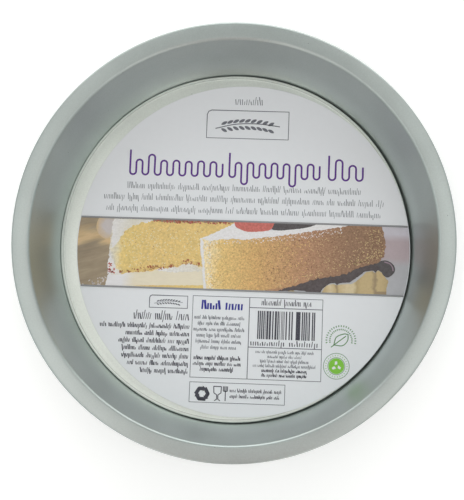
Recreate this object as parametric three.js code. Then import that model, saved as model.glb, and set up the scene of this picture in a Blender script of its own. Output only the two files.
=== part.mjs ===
// A round sandwich cake tin in pressed steel: a shallow flared wall with a flat rim, a loose base
// disc with a turned-down edge that rests on a ledge inside the foot, and a round printed card
// lying on the disc. Millimetres, +Z up. The origin is the middle of the ring that the tin
// stands on.

import * as THREE from 'three';

// Thickness of the pressed sheet that the body and the loose base are made of
const SHEET = 0.6;

// Tin body: one sheet, flared from the foot to the mouth and turned out flat as the rim, with a
// lip turned down round its edge. Radii are those of the side of the sheet that faces in or up.
const TIN_HEIGHT = 35;
const MOUTH_RADIUS = 100;
const RIM_RADIUS = 108.8;
const RIM_FALL = 0.35;
const RIM_LIP = 1.7;

// Foot of the body: the ring that the tin stands on is a channel, and the sheet rises from it to
// the ledge that carries the loose base
const FOOT_RADIUS = 91.3;
const CHANNEL_RADIUS = 88;
const LEDGE_RADIUS = 86.4;
const LEDGE_HEIGHT = 2.6;
const LEDGE_WIDTH = 3.5;

// Bends of the body, from the ledge up to the lip, measured on the same side
const LEDGE_BEND = 0.9;
const CHANNEL_BEND = 0.8;
const FOOT_BEND = 1.2;
const MOUTH_BEND = 1.6;
const LIP_BEND = 1.0;

// Loose base disc: a flat plate with its edge turned down into the channel
const DISC_RADIUS = 90.8;
const DISC_EDGE_DEPTH = 1.6;
const DISC_BEND = 1.0;
const DISC_SHIFT = new THREE.Vector2(-0.45, 0.15);

// Printed card: a plain disc of thin board, slid to the right until it almost meets the wall
const CARD_RADIUS = 87;
const CARD_THICKNESS = 0.4;
const CARD_SHIFT = new THREE.Vector2(3.7, -2);

// Clear space between pieces that rest on each other
const SEAT_GAP = 0.3;

// Height of the base disc's upper face
const PLATE_HEIGHT = LEDGE_HEIGHT + SEAT_GAP + SHEET;

// Fineness: flats around a full turn, and flats along each bend
const TURN_FLATS = 96;
const BEND_FLATS = 2;

const COATED_STEEL = { color: 0xbcc4bd, roughness: 0.4, metalness: 0.85 };
const BASE_STEEL = { color: 0xc8cfc8, roughness: 0.38, metalness: 0.85 };
const PRINTED_BOARD = { color: 0xd6d9dc, roughness: 0.55, metalness: 0 };

const point = (radius, height) => new THREE.Vector2(radius, height);

// Points along a line of corners, with each corner that has a bend radius turned into an arc
function bentLine(corners) {
  const line = [corners[0].at];
  for (let i = 1; i < corners.length - 1; i += 1) {
    const corner = corners[i].at;
    const back = corners[i - 1].at.clone().sub(corner).normalize();
    const ahead = corners[i + 1].at.clone().sub(corner).normalize();
    const halfAngle = Math.acos(THREE.MathUtils.clamp(back.dot(ahead), -1, 1)) / 2;
    const middle = back.clone().add(ahead).normalize();
    const centre = corner.clone().addScaledVector(middle, corners[i].bend / Math.sin(halfAngle));
    const reach = corners[i].bend / Math.tan(halfAngle);
    const start = corner.clone().addScaledVector(back, reach).sub(centre);
    const end = corner.clone().addScaledVector(ahead, reach).sub(centre);
    const sweep = Math.atan2(start.cross(end), start.dot(end));
    for (let step = 0; step <= BEND_FLATS; step += 1) {
      const spoke = start.clone().rotateAround(point(0, 0), (sweep * step) / BEND_FLATS);
      line.push(spoke.add(centre));
    }
  }
  line.push(corners[corners.length - 1].at);
  return line;
}

// The same line moved sideways by the sheet's thickness, to the right of the way it runs
function otherFace(line) {
  return line.map((here, i) => {
    const before = line[Math.max(i - 1, 0)];
    const after = line[Math.min(i + 1, line.length - 1)];
    const into = here.clone().sub(before).normalize();
    const out = after.clone().sub(here).normalize();
    if (i === 0) into.copy(out);
    if (i === line.length - 1) out.copy(into);
    const across = into.clone().add(out).normalize();
    const stretch = 1 / across.dot(out);
    return here.clone().add(point(across.y, -across.x).multiplyScalar(SHEET * stretch));
  });
}

// A solid of revolution about Z from a closed outline of radius and height
function turned(outline) {
  const solid = new THREE.LatheGeometry(outline, TURN_FLATS);
  solid.rotateX(Math.PI / 2);
  return solid;
}

function named(name, geometry, finish) {
  const mesh = new THREE.Mesh(geometry, new THREE.MeshStandardMaterial(finish));
  mesh.name = name;
  return mesh;
}

function tinBody() {
  const upperFace = bentLine([
    { at: point(LEDGE_RADIUS - LEDGE_WIDTH, LEDGE_HEIGHT) },
    { at: point(LEDGE_RADIUS, LEDGE_HEIGHT), bend: LEDGE_BEND },
    { at: point(CHANNEL_RADIUS, SHEET), bend: CHANNEL_BEND },
    { at: point(FOOT_RADIUS, SHEET), bend: FOOT_BEND },
    { at: point(MOUTH_RADIUS, TIN_HEIGHT), bend: MOUTH_BEND },
    { at: point(RIM_RADIUS, TIN_HEIGHT - RIM_FALL), bend: LIP_BEND },
    { at: point(RIM_RADIUS, TIN_HEIGHT - RIM_LIP) },
  ]);
  const lowerFace = otherFace(upperFace);
  const outline = [...lowerFace, ...upperFace.slice().reverse(), lowerFace[0]];
  return named('tin_body', turned(outline), COATED_STEEL);
}

function looseBase() {
  const upperFace = bentLine([
    { at: point(0, PLATE_HEIGHT) },
    { at: point(DISC_RADIUS, PLATE_HEIGHT), bend: DISC_BEND },
    { at: point(DISC_RADIUS, PLATE_HEIGHT - DISC_EDGE_DEPTH) },
  ]);
  const lowerFace = otherFace(upperFace);
  const outline = [...lowerFace, ...upperFace.slice().reverse()];
  const disc = named('loose_base', turned(outline), BASE_STEEL);
  disc.position.set(DISC_SHIFT.x, DISC_SHIFT.y, 0);
  return disc;
}

function printedCard() {
  const underside = PLATE_HEIGHT + SEAT_GAP;
  const top = underside + CARD_THICKNESS;
  const outline = [
    point(0, underside),
    point(CARD_RADIUS, underside),
    point(CARD_RADIUS, top),
    point(0, top),
  ];
  const card = named('printed_card', turned(outline), PRINTED_BOARD);
  card.position.set(CARD_SHIFT.x, CARD_SHIFT.y, 0);
  return card;
}

const cakeTin = new THREE.Group();
cakeTin.add(tinBody(), looseBase(), printedCard());

export default cakeTin;
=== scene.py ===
"""A round sandwich cake tin: pressed body, loose base and printed card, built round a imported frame."""

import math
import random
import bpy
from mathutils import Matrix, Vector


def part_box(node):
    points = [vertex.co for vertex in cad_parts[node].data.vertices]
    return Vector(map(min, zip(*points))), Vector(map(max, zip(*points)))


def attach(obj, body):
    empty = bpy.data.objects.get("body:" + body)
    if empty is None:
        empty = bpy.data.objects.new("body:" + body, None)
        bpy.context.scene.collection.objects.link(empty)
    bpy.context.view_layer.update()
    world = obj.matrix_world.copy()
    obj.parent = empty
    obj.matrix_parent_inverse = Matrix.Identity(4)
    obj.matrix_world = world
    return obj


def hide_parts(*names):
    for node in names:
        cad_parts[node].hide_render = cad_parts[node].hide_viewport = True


bl_info = {
    "name": "Sandwich Cake Tin", "version": (1, 0, 0), "blender": (4, 5, 0),
    "location": "3D View > Sidebar > Cake Tin",
    "description": "Builds a coated steel cake tin with a loose base and a printed card in it",
    "category": "Add Mesh"
}

import bmesh
import bpy
from bpy.props import FloatProperty, FloatVectorProperty, IntProperty, PointerProperty
from mathutils import Matrix, Vector

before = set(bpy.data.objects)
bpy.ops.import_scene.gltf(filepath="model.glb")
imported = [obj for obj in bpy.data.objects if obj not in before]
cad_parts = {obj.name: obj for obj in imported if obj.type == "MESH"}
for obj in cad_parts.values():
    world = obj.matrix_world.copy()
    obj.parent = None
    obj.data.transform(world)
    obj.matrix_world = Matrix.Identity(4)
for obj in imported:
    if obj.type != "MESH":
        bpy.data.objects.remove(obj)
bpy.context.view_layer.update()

BODY_LOW, BODY_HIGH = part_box("tin_body")
BASE_LOW, BASE_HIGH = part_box("loose_base")
CARD_LOW, CARD_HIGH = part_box("printed_card")

MM = 0.001
RIDES_ON = "root"
SMOOTH = {"interpolation_type": "SMOOTHSTEP"}

# Everything printed is laid out in millimetres from the print's own middle, which lies a little off
# the card's. A print layer is this thick, and each picture field lies a layer above the one it covers.
INK = 0.02 * MM
HAIR = 0.002 * MM
# How far the picture's fields and the lines beside it stop short of the card's edge
FIELD_MARGIN = 0.35
LINE_MARGIN = 0.4 * MM
# Outline points of a field that are closer together than this are joined, in millimetres
SHORTEST_STEP = 0.02


# ---------------------------------------------------------------- colours and nodes


def linear(code):
    """Turns an sRGB hex colour into the linear values that Blender works in."""
    parts = [int(code[i : i + 2], 16) / 255 for i in (0, 2, 4)]
    return tuple(c / 12.92 if c <= 0.04045 else ((c + 0.055) / 1.055) ** 2.4 for c in parts)


def rgba(colour, level=1.0):
    """A colour with full alpha, made lighter or darker by a factor."""
    return tuple(min(1.0, channel * level) for channel in colour[:3]) + (1.0,)


def add_node(tree, kind, sockets=(), **settings):
    """Adds one node, sets its options, and gives its sockets, in order or by key, a value or a link.

    A node given as a value stands for its first output in use.
    """
    made = tree.nodes.new(kind)
    for name, value in settings.items():
        setattr(made, name, value)
    for key, value in sockets.items() if isinstance(sockets, dict) else enumerate(sockets):
        if isinstance(value, bpy.types.Node):
            value = next(socket for socket in value.outputs if socket.enabled)
        if isinstance(value, bpy.types.NodeSocket):
            tree.links.new(value, made.inputs[key])
        else:
            made.inputs[key].default_value = value
    return made


# ---------------------------------------------------------------- geometry trees


def start_tree(name, inputs):
    """A geometry tree with a mesh in, the named inputs and a mesh out. Returns it with its inputs by name."""
    tree = bpy.data.node_groups.new(name, "GeometryNodeTree")
    tree.interface.new_socket("Geometry", in_out="INPUT", socket_type="NodeSocketGeometry")
    for label, kind in inputs:
        tree.interface.new_socket(label, in_out="INPUT", socket_type=f"NodeSocket{kind}")
    tree.interface.new_socket("Material", in_out="INPUT", socket_type="NodeSocketMaterial")
    tree.interface.new_socket("Geometry", in_out="OUTPUT", socket_type="NodeSocketGeometry")
    return tree, {socket.name: socket for socket in add_node(tree, "NodeGroupInput").outputs}


def end_tree(tree, given, geometry):
    """Makes the result real, gives it its material and sends it out."""
    real = add_node(tree, "GeometryNodeRealizeInstances", {"Geometry": geometry})
    painted = add_node(tree, "GeometryNodeSetMaterial", {"Geometry": real, "Material": given["Material"]})
    add_node(tree, "NodeGroupOutput", {"Geometry": painted})
    return tree


def turned_sheet_tree():
    """Spins a closed outline, drawn as points of radius (X) and height (Z), round an upright axis."""
    tree, given = start_tree("Turned Sheet", (("Flats", "Int"), ("Axis", "Vector")))
    outline = given["Geometry"]
    count = add_node(tree, "GeometryNodeAttributeDomainSize", {"Geometry": outline})
    columns = add_node(tree, "ShaderNodeMath", [given["Flats"], 1.0], operation="ADD")
    grid = add_node(tree, "GeometryNodeMeshGrid", {"Vertices X": columns, "Vertices Y": count})
    index = add_node(tree, "GeometryNodeInputIndex")
    row = add_node(tree, "ShaderNodeMath", [index, count], operation="FLOORED_MODULO")
    part = add_node(tree, "ShaderNodeMath", [index, count], operation="DIVIDE")
    column = add_node(tree, "ShaderNodeMath", [part], operation="FLOOR")
    share = add_node(tree, "ShaderNodeMath", [column, given["Flats"]], operation="DIVIDE")
    angle = add_node(tree, "ShaderNodeMath", [share, math.tau], operation="MULTIPLY")
    place = add_node(tree, "GeometryNodeInputPosition")
    sample = add_node(
        tree, "GeometryNodeSampleIndex", {"Geometry": outline, "Value": place, "Index": row},
        data_type="FLOAT_VECTOR"
    )
    spun = add_node(
        tree, "ShaderNodeVectorRotate", {"Vector": sample, "Angle": angle}, rotation_type="Z_AXIS"
    )
    moved = add_node(tree, "ShaderNodeVectorMath", [spun, given["Axis"]], operation="ADD")
    skin = add_node(tree, "GeometryNodeSetPosition", {"Geometry": grid, "Position": moved})
    closed = add_node(tree, "GeometryNodeMergeByDistance", {"Geometry": skin, "Distance": HAIR})
    return end_tree(tree, given, closed)


def printed_stroke_tree():
    """Lays a flat line of ink along every path of edges, with its corners rounded."""
    inputs = (("Width", "Float"), ("Rounding", "Float"), ("Steps", "Int"), ("Depth", "Float"))
    tree, given = start_tree("Printed Stroke", inputs)
    path = add_node(tree, "GeometryNodeMeshToCurve", {"Mesh": given["Geometry"]})
    upright = add_node(tree, "GeometryNodeSetCurveNormal", {"Curve": path}, mode="Z_UP")
    rounded = add_node(
        tree, "GeometryNodeFilletCurve",
        {"Curve": upright, "Count": given["Steps"], "Radius": given["Rounding"], "Limit Radius": True},
        mode="POLY"
    )
    nib = add_node(
        tree, "GeometryNodeCurvePrimitiveQuadrilateral", {"Width": given["Width"], "Height": given["Depth"]}
    )
    stroke = add_node(
        tree, "GeometryNodeCurveToMesh", {"Curve": rounded, "Profile Curve": nib, "Fill Caps": True}
    )
    return end_tree(tree, given, stroke)


def ticked_words_tree():
    """Fills every edge, one edge for a word, with upright ticks of uneven height that stand for letters."""
    inputs = (
        ("Pitch", "Float"), ("Height", "Float"), ("Stroke", "Float"), ("Depth", "Float"), ("Seed", "Int")
    )
    tree, given = start_tree("Ticked Words", inputs)
    seed = given["Seed"]
    words = add_node(tree, "GeometryNodeMeshToCurve", {"Mesh": given["Geometry"]})
    spots = add_node(
        tree, "GeometryNodeResampleCurve", {"Curve": words, "Length": given["Pitch"]}, mode="LENGTH"
    )
    tall = add_node(
        tree, "FunctionNodeRandomValue", {"Probability": 0.24, "Seed": seed}, data_type="BOOLEAN"
    )
    deep = add_node(tree, "FunctionNodeRandomValue", {"Probability": 0.1, "Seed": 7}, data_type="BOOLEAN")
    low = add_node(tree, "FunctionNodeRandomValue", {"Probability": 0.22, "Seed": 3}, data_type="BOOLEAN")
    top = add_node(tree, "ShaderNodeMath", [tall, 0.5, 1.0], operation="MULTIPLY_ADD")
    trimmed = add_node(tree, "ShaderNodeMath", [low, -0.35, top], operation="MULTIPLY_ADD")
    bottom = add_node(tree, "ShaderNodeMath", [deep, -0.45], operation="MULTIPLY")
    span = add_node(tree, "ShaderNodeMath", [trimmed, bottom], operation="SUBTRACT")
    total = add_node(tree, "ShaderNodeMath", [trimmed, bottom], operation="ADD")
    middle = add_node(tree, "ShaderNodeMath", [total, 0.5], operation="MULTIPLY")
    lift = add_node(tree, "ShaderNodeMath", [middle, given["Height"]], operation="MULTIPLY")
    rise = add_node(tree, "ShaderNodeCombineXYZ", {"Y": lift})
    placed = add_node(tree, "GeometryNodeSetPosition", {"Geometry": spots, "Offset": rise})
    size = add_node(
        tree, "ShaderNodeCombineXYZ", {"X": given["Stroke"], "Y": given["Height"], "Z": given["Depth"]}
    )
    tick = add_node(tree, "GeometryNodeMeshCube", {"Size": size})
    width = add_node(tree, "FunctionNodeRandomValue", {2: 0.65, 3: 1.25, "Seed": seed}, data_type="FLOAT")
    scale = add_node(tree, "ShaderNodeCombineXYZ", {"X": width, "Y": span, "Z": 1.0})
    lean = add_node(tree, "FunctionNodeRandomValue", {2: -0.2, 3: 0.2, "Seed": seed}, data_type="FLOAT")
    tilt = add_node(tree, "ShaderNodeCombineXYZ", {"Z": lean})
    ticks = add_node(
        tree, "GeometryNodeInstanceOnPoints",
        {"Points": placed, "Instance": tick, "Rotation": tilt, "Scale": scale}
    )
    return end_tree(tree, given, ticks)


def bar_field_tree():
    """Stands bars of one module at uneven spots of an even row, so that neighbours join into wider bars."""
    inputs = (
        ("Module", "Float"), ("Height", "Float"), ("Depth", "Float"), ("Share", "Float"), ("Seed", "Int")
    )
    tree, given = start_tree("Bar Field", inputs)
    kept = add_node(
        tree, "FunctionNodeRandomValue", {"Probability": given["Share"], "Seed": given["Seed"]},
        data_type="BOOLEAN"
    )
    size = add_node(
        tree, "ShaderNodeCombineXYZ", {"X": given["Module"], "Y": given["Height"], "Z": given["Depth"]}
    )
    bar = add_node(tree, "GeometryNodeMeshCube", {"Size": size})
    bars = add_node(
        tree, "GeometryNodeInstanceOnPoints",
        {"Points": given["Geometry"], "Selection": kept, "Instance": bar}
    )
    return end_tree(tree, given, bars)


def scattered_flecks_tree():
    """Scatters small flat flecks of uneven size over a face."""
    inputs = (("Density", "Float"), ("Size", "Float"), ("Depth", "Float"), ("Seed", "Int"))
    tree, given = start_tree("Scattered Flecks", inputs)
    seed = given["Seed"]
    spots = add_node(
        tree, "GeometryNodeDistributePointsOnFaces",
        {"Mesh": given["Geometry"], "Density": given["Density"], "Seed": seed}, distribute_method="RANDOM"
    )
    fleck = add_node(
        tree, "GeometryNodeMeshCylinder", {"Vertices": 6, "Radius": given["Size"], "Depth": given["Depth"]}
    )
    turn = add_node(tree, "FunctionNodeRandomValue", {2: 0.0, 3: math.tau, "Seed": seed}, data_type="FLOAT")
    spin = add_node(tree, "ShaderNodeCombineXYZ", {"Z": turn})
    scale = add_node(
        tree, "FunctionNodeRandomValue", {0: (0.5, 0.3, 1.0), 1: (1.7, 1.0, 1.0), "Seed": seed},
        data_type="FLOAT_VECTOR"
    )
    flecks = add_node(
        tree, "GeometryNodeInstanceOnPoints",
        {"Points": spots, "Instance": fleck, "Rotation": spin, "Scale": scale}
    )
    return end_tree(tree, given, flecks)


def shared_tree(build, name):
    """The tree of that name, made the first time it is asked for."""
    return bpy.data.node_groups.get(name) or build()


# ---------------------------------------------------------------- meshes


def new_piece(name, points, edges=(), faces=()):
    """An object at the origin that holds a mesh in the frame's metres."""
    mesh = bpy.data.meshes.new(name)
    mesh.from_pydata([tuple(p) for p in points], list(edges), list(faces))
    piece = bpy.data.objects.new(name, mesh)
    bpy.context.scene.collection.objects.link(piece)
    return piece


def grow(piece, tree, values):
    """Runs a geometry tree on a piece and keeps the result as its plain mesh."""
    modifier = piece.modifiers.new(tree.name, "NODES")
    modifier.node_group = tree
    for socket in tree.interface.items_tree:
        if socket.in_out == "INPUT" and socket.name in values:
            modifier[socket.identifier] = values[socket.name]
    graph = bpy.context.evaluated_depsgraph_get()
    made = bpy.data.meshes.new_from_object(piece.evaluated_get(graph))
    piece.modifiers.clear()
    seed_mesh = piece.data
    piece.data = made
    bpy.data.meshes.remove(seed_mesh)
    made.name = piece.name
    if not made.polygons:
        raise RuntimeError(f"{piece.name}: the tree {tree.name} made no faces")
    return piece


def turn_outwards(shape):
    """Turns over each closed island whose faces look inwards, as thin crooked sheets can end up."""
    waiting = set(shape.faces)
    while waiting:
        island, front = [], [waiting.pop()]
        while front:
            face = front.pop()
            island.append(face)
            beside = {other for edge in face.edges for other in edge.link_faces} & waiting
            waiting -= beside
            front.extend(beside)
        origin = island[0].verts[0].co
        volume = 0.0
        for face in island:
            spots = [corner.co - origin for corner in face.verts]
            volume += sum(spots[0].dot(a.cross(b)) for a, b in zip(spots[1:], spots[2:]))
        if volume < 0:
            bmesh.ops.reverse_faces(shape, faces=island)


def tidy_faces(piece, smooth_under=None):
    """Closes a mesh, turns its faces outwards and shades it, smooth across edges flatter than the angle."""
    shape = bmesh.new()
    shape.from_mesh(piece.data)
    bmesh.ops.remove_doubles(shape, verts=shape.verts, dist=HAIR / 4)
    bmesh.ops.recalc_face_normals(shape, faces=shape.faces)
    turn_outwards(shape)
    shape.to_mesh(piece.data)
    shape.free()
    if smooth_under is not None:
        piece.data.shade_smooth()
        piece.data.set_sharp_from_angle(angle=smooth_under)
    return piece


def hand_in(piece, slot, *stands_for):
    """Fixes a finished piece to the frame and hides the CAD nodes it stands for. The slot is not used."""
    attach(piece, RIDES_ON)
    if stands_for:
        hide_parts(*stands_for)


def bent_line(corners, flats):
    """Points along a line of (radius, height, bend) corners, with each bend turned into an arc."""
    spots = [Vector(corner[:2]) for corner in corners]
    line = [spots[0]]
    for i in range(1, len(spots) - 1):
        back = (spots[i - 1] - spots[i]).normalized()
        ahead = (spots[i + 1] - spots[i]).normalized()
        half = math.acos(max(-1.0, min(1.0, back.dot(ahead)))) / 2
        bend = corners[i][2]
        centre = spots[i] + (back + ahead).normalized() * (bend / math.sin(half))
        start = spots[i] + back * (bend / math.tan(half)) - centre
        end = spots[i] + ahead * (bend / math.tan(half)) - centre
        sweep = math.atan2(start.x * end.y - start.y * end.x, start.dot(end))
        for step in range(flats + 1):
            line.append(centre + Matrix.Rotation(sweep * step / flats, 2) @ start)
    return line + [spots[-1]]


def other_face(line, sheet):
    """The same line moved by the sheet's thickness to the right of the way it runs."""
    moved = []
    for i, here in enumerate(line):
        into = here - line[i - 1] if i else line[1] - line[0]
        out = line[i + 1] - here if i + 1 < len(line) else into
        into, out = into.normalized(), out.normalized()
        across = (into + out).normalized()
        moved.append(here + Vector((across.y, -across.x)) * (sheet / across.dot(out)))
    return moved


def turn_outline(name, outline, flats, axis, material):
    """A solid of revolution from a ring of (radius, height) points."""
    points = [(p[0], 0.0, p[1]) for p in outline]
    points.append(points[0])
    edges = [(i, i + 1) for i in range(len(points) - 1)]
    piece = new_piece(name, points, edges)
    tree = shared_tree(turned_sheet_tree, "Turned Sheet")
    grow(piece, tree, {"Flats": flats, "Axis": axis, "Material": material})
    return tidy_faces(piece, math.radians(35))


# ---------------------------------------------------------------- print layout


def card_settings():
    return bpy.context.scene.cake_tin_card


def card_place():
    """Moves and turns the print's own frame to where the print lies in the tin."""
    card = card_settings()
    middle = Vector((card.centre_x + card.print_x, card.centre_y + card.print_y, 0.0))
    return Matrix.Translation(middle) @ Matrix.Rotation(card.turn, 4, "Z")


def layer_height(layer):
    """Height of the underside of a print layer, counted from the card's face."""
    return card_settings().top + HAIR + layer * (INK + HAIR)


def lay_down(piece, material=None):
    """Puts a piece that was made in the print's own frame in its place in the tin."""
    piece.data.transform(card_place())
    if material is not None:
        piece.data.materials.clear()
        piece.data.materials.append(material)
    tidy_faces(piece)
    hand_in(piece, "printed_card")
    return piece


def stroke_piece(name, paths, width, material, layer=1, rounding=0.0, steps=6):
    """Ink lines along paths of (x, y) millimetres; a path whose ends meet is a closed ring."""
    points, edges = [], []
    height = layer_height(layer) + INK / 2
    for path in paths:
        ring = path[0] == path[-1]
        first = len(points)
        spots = path[:-1] if ring else path
        points += [(x * MM, y * MM, height) for x, y in spots]
        edges += [(first + i, first + i + 1) for i in range(len(spots) - 1)]
        if ring:
            edges.append((len(points) - 1, first))
    piece = new_piece(name, points, edges)
    values = {
        "Width": width * MM, "Rounding": rounding * MM, "Steps": steps, "Depth": INK, "Material": material
    }
    grow(piece, shared_tree(printed_stroke_tree, "Printed Stroke"), values)
    return lay_down(piece)


def word_runs(left, right, base, letter, dice):
    """Splits a text line into words: a list of (start, end) millimetres with a gap of one letter between."""
    runs = []
    x = left
    while x < right - letter:
        length = dice.randint(2, 8) * letter
        end = min(x + length, right)
        if right - end < 3 * letter:
            end = right
        runs.append(((x, base), (end, base)))
        x = end + 1.3 * letter
    return runs


def words_piece(name, lines, letter, height, stroke, material, seed):
    """Lines of stand-in words: each line is (left, right, base) millimetres."""
    dice = random.Random(seed)
    points, edges = [], []
    level = layer_height(1) + INK / 2
    for left, right, base in lines:
        for start, end in word_runs(left, right, base, letter, dice):
            points += [(start[0] * MM, start[1] * MM, level), (end[0] * MM, end[1] * MM, level)]
            edges.append((len(points) - 2, len(points) - 1))
    piece = new_piece(name, points, edges)
    values = {
        "Pitch": letter * MM / 2, "Height": height * MM, "Stroke": stroke * MM, "Depth": INK, "Seed": seed,
        "Material": material
    }
    grow(piece, shared_tree(ticked_words_tree, "Ticked Words"), values)
    return lay_down(piece)


def box_ring(left, low, right, high, cut=0.0):
    """A closed rectangle, its top left corner cut back when a cut is given."""
    if cut:
        start = [(left, high - cut), (left + cut * 0.3, high - cut * 0.3), (left + cut, high)]
    else:
        start = [(left, high)]
    return start + [(right, high), (right, low), (left, low), start[0]]


def rounded_line(points, pieces=6):
    """A smooth line through points, as a Catmull-Rom curve."""
    spots = [Vector(p) for p in points]
    spots = [spots[0] * 2 - spots[1]] + spots + [spots[-1] * 2 - spots[-2]]
    line = []
    for i in range(1, len(spots) - 2):
        a, b, c, d = spots[i - 1 : i + 3]
        for step in range(pieces):
            t = step / pieces
            line.append(
                0.5 * (
                    2 * b + (c - a) * t + (2 * a - 5 * b + 4 * c - d) * t * t + (
                        3 * b - a - 3 * c + d
                    ) * t**3
                )
            )
    line.append(spots[-2])
    return [tuple(p) for p in line]


def ragged(outline, step, amount, seed, low, high, radius, middle):
    """A closed outline in short shaken steps, kept between two heights and inside the card's edge."""
    middle = Vector(middle)
    dice = random.Random(seed)
    walked = []
    for i, start in enumerate(outline):
        a, b = Vector(start), Vector(outline[(i + 1) % len(outline)])
        count = max(1, round((b - a).length / step))
        walked += [a.lerp(b, k / count) for k in range(count)]
    shaken = []
    for spot in walked:
        on_edge = spot.y <= low + 1e-6 or spot.y >= high - 1e-6
        if not on_edge:
            spot = spot + Vector((dice.uniform(-amount, amount), dice.uniform(-amount, amount)))
        spot = Vector((spot.x, min(max(spot.y, low), high)))
        if (spot - middle).length > radius:
            spot = middle + (spot - middle) * (radius / (spot - middle).length)
        if not shaken or (spot - shaken[-1]).length > SHORTEST_STEP:
            shaken.append(spot)
    return shaken


def flat_solid(name, outlines, layer, material):
    """Thin closed plates of ink from closed outlines in millimetres."""
    points, faces = [], []
    low, high = layer_height(layer), layer_height(layer) + INK
    for outline in outlines:
        first, count = len(points), len(outline)
        points += [(p[0] * MM, p[1] * MM, low) for p in outline]
        points += [(p[0] * MM, p[1] * MM, high) for p in outline]
        faces.append([first + i for i in reversed(range(count))])
        faces.append([first + count + i for i in range(count)])
        for i in range(count):
            j = (i + 1) % count
            faces.append([first + i, first + j, first + count + j, first + count + i])
    piece = new_piece(name, points, faces=faces)
    shape = bmesh.new()
    shape.from_mesh(piece.data)
    bmesh.ops.triangulate(shape, faces=[f for f in shape.faces if len(f.verts) > 4])
    shape.to_mesh(piece.data)
    shape.free()
    return lay_down(piece, material)


def flecks_piece(name, outlines, density, size, layer, material, seed):
    """Small flecks scattered over closed outlines, with so many to each square millimetre."""
    points, faces = [], []
    level = layer_height(layer) + INK / 2
    for outline in outlines:
        faces.append([len(points) + i for i in range(len(outline))])
        points += [(p[0] * MM, p[1] * MM, level) for p in outline]
    piece = new_piece(name, points, faces=faces)
    values = {
        "Density": density / (MM * MM), "Size": size * MM, "Depth": INK, "Seed": seed, "Material": material
    }
    grow(piece, shared_tree(scattered_flecks_tree, "Scattered Flecks"), values)
    return lay_down(piece)


def around(x, y, radius, turn):
    """The point at a radius and a turn from a middle."""
    return x + radius * math.cos(turn), y + radius * math.sin(turn)


def circle_outline(x, y, radius, count=40):
    return [around(x, y, radius, math.tau * i / count) for i in range(count)]


def centred_rows(middle, top, pitch, halves):
    """Rows of stand-in words centred on one line, from the half width of each."""
    return [(middle - half, middle + half, top - pitch * i) for i, half in enumerate(halves)]


# ---------------------------------------------------------------- materials


def start_material(name):
    """An empty node material, with its tree and the piece's own coordinates."""
    material = bpy.data.materials.new(name)
    material.use_nodes = True
    tree = material.node_tree
    tree.nodes.clear()
    where = add_node(tree, "ShaderNodeTexCoord").outputs["Object"]
    return material, tree, where


def end_material(tree, shader):
    add_node(tree, "ShaderNodeOutputMaterial", {"Surface": shader})


def painted_foot_light(low, high, gain):
    """Painted light: a tone that makes the wall paler towards its foot, where light from the bright base and
    card falls on it.
    """

    def tone(tree, where):
        height = add_node(tree, "ShaderNodeSeparateXYZ", [where]).outputs["Z"]
        return add_node(tree, "ShaderNodeMapRange", [height, low, high, gain, 1.0], **SMOOTH)

    return tone


def painted_edge_light(centre, start, full, gain, line, line_width, shade_line_tone):
    """Painted light: a tone brighter towards a round edge as a painted highlight, with one fine dark line
    round it as a painted shade line.
    """

    def tone(tree, where):
        flat = add_node(tree, "ShaderNodeVectorMath", [where, (1.0, 1.0, 0.0)], operation="MULTIPLY")
        reach = add_node(tree, "ShaderNodeVectorMath", [flat, centre], operation="DISTANCE")
        away = add_node(tree, "ShaderNodeMath", [reach, line], operation="SUBTRACT")
        off = add_node(tree, "ShaderNodeMath", [away], operation="ABSOLUTE")
        bright = add_node(tree, "ShaderNodeMapRange", [reach, start, full, 1.0, gain], **SMOOTH)
        crisp = line_width * 0.3
        dark = add_node(tree, "ShaderNodeMapRange", [off, crisp, line_width, shade_line_tone, 1.0], **SMOOTH)
        return add_node(tree, "ShaderNodeMath", [bright, dark], operation="MULTIPLY")

    return tone


def satin_coated_steel(name, colour, roughness, light_tone):
    """Cold-rolled steel, pressed, with a sprayed silver release coating.

    The coating is a thin film full of fine metal flake. The eye sees a soft, cool grey sheen with no
    sharp reflections, a faint flake grain under a millimetre, and slow cloudy changes from the press.
    """
    # Real flake is some hundredths of a millimetre, and it is drawn coarser so that it shows
    flake, cloud, speck = 0.7 * MM, 28 * MM, 9 * MM
    material, tree, where = start_material(name)
    grain = add_node(
        tree, "ShaderNodeTexNoise", {"Vector": where, "Scale": 1 / flake, "Detail": 3.0, "Roughness": 0.65}
    )
    clouds = add_node(tree, "ShaderNodeTexNoise", {"Vector": where, "Scale": 1 / cloud, "Detail": 2.0})
    specks = add_node(
        tree, "ShaderNodeTexVoronoi", {"Vector": where, "Scale": 1 / speck, "Randomness": 1.0}, feature="F1"
    )
    mottled = add_node(
        tree, "ShaderNodeMix", {0: grain, 6: rgba(colour, 0.86), 7: rgba(colour, 1.13)}, data_type="RGBA"
    )
    clouded = add_node(tree, "ShaderNodeMapRange", [clouds, 0.3, 0.7, 0.96, 1.04])
    # A very few dark pin specks, a quarter of a millimetre across, where dust sat under the spray
    pin = add_node(tree, "ShaderNodeMapRange", [specks, 0.014, 0.028, 0.35, 1.0])
    level = add_node(tree, "ShaderNodeMath", [clouded, pin], operation="MULTIPLY")
    # The tone passed in is painted light: it brightens and darkens the coating's colour where light and shade
    # fall
    specked_and_lit = add_node(tree, "ShaderNodeMath", [level, light_tone(tree, where)], operation="MULTIPLY")
    coloured = add_node(
        tree, "ShaderNodeMix", {0: 1.0, 6: mottled, 7: specked_and_lit}, data_type="RGBA", blend_type="MULTIPLY"
    )
    dull = add_node(tree, "ShaderNodeMapRange", [grain, 0.25, 0.75, roughness - 0.05, roughness + 0.07])
    relief = add_node(tree, "ShaderNodeBump", {"Strength": 0.35, "Distance": 0.05 * MM, "Height": grain})
    shader = add_node(
        tree, "ShaderNodeBsdfPrincipled",
        {"Base Color": coloured, "Metallic": 0.86, "Roughness": dull, "Normal": relief}
    )
    end_material(tree, shader)
    return material


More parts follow.
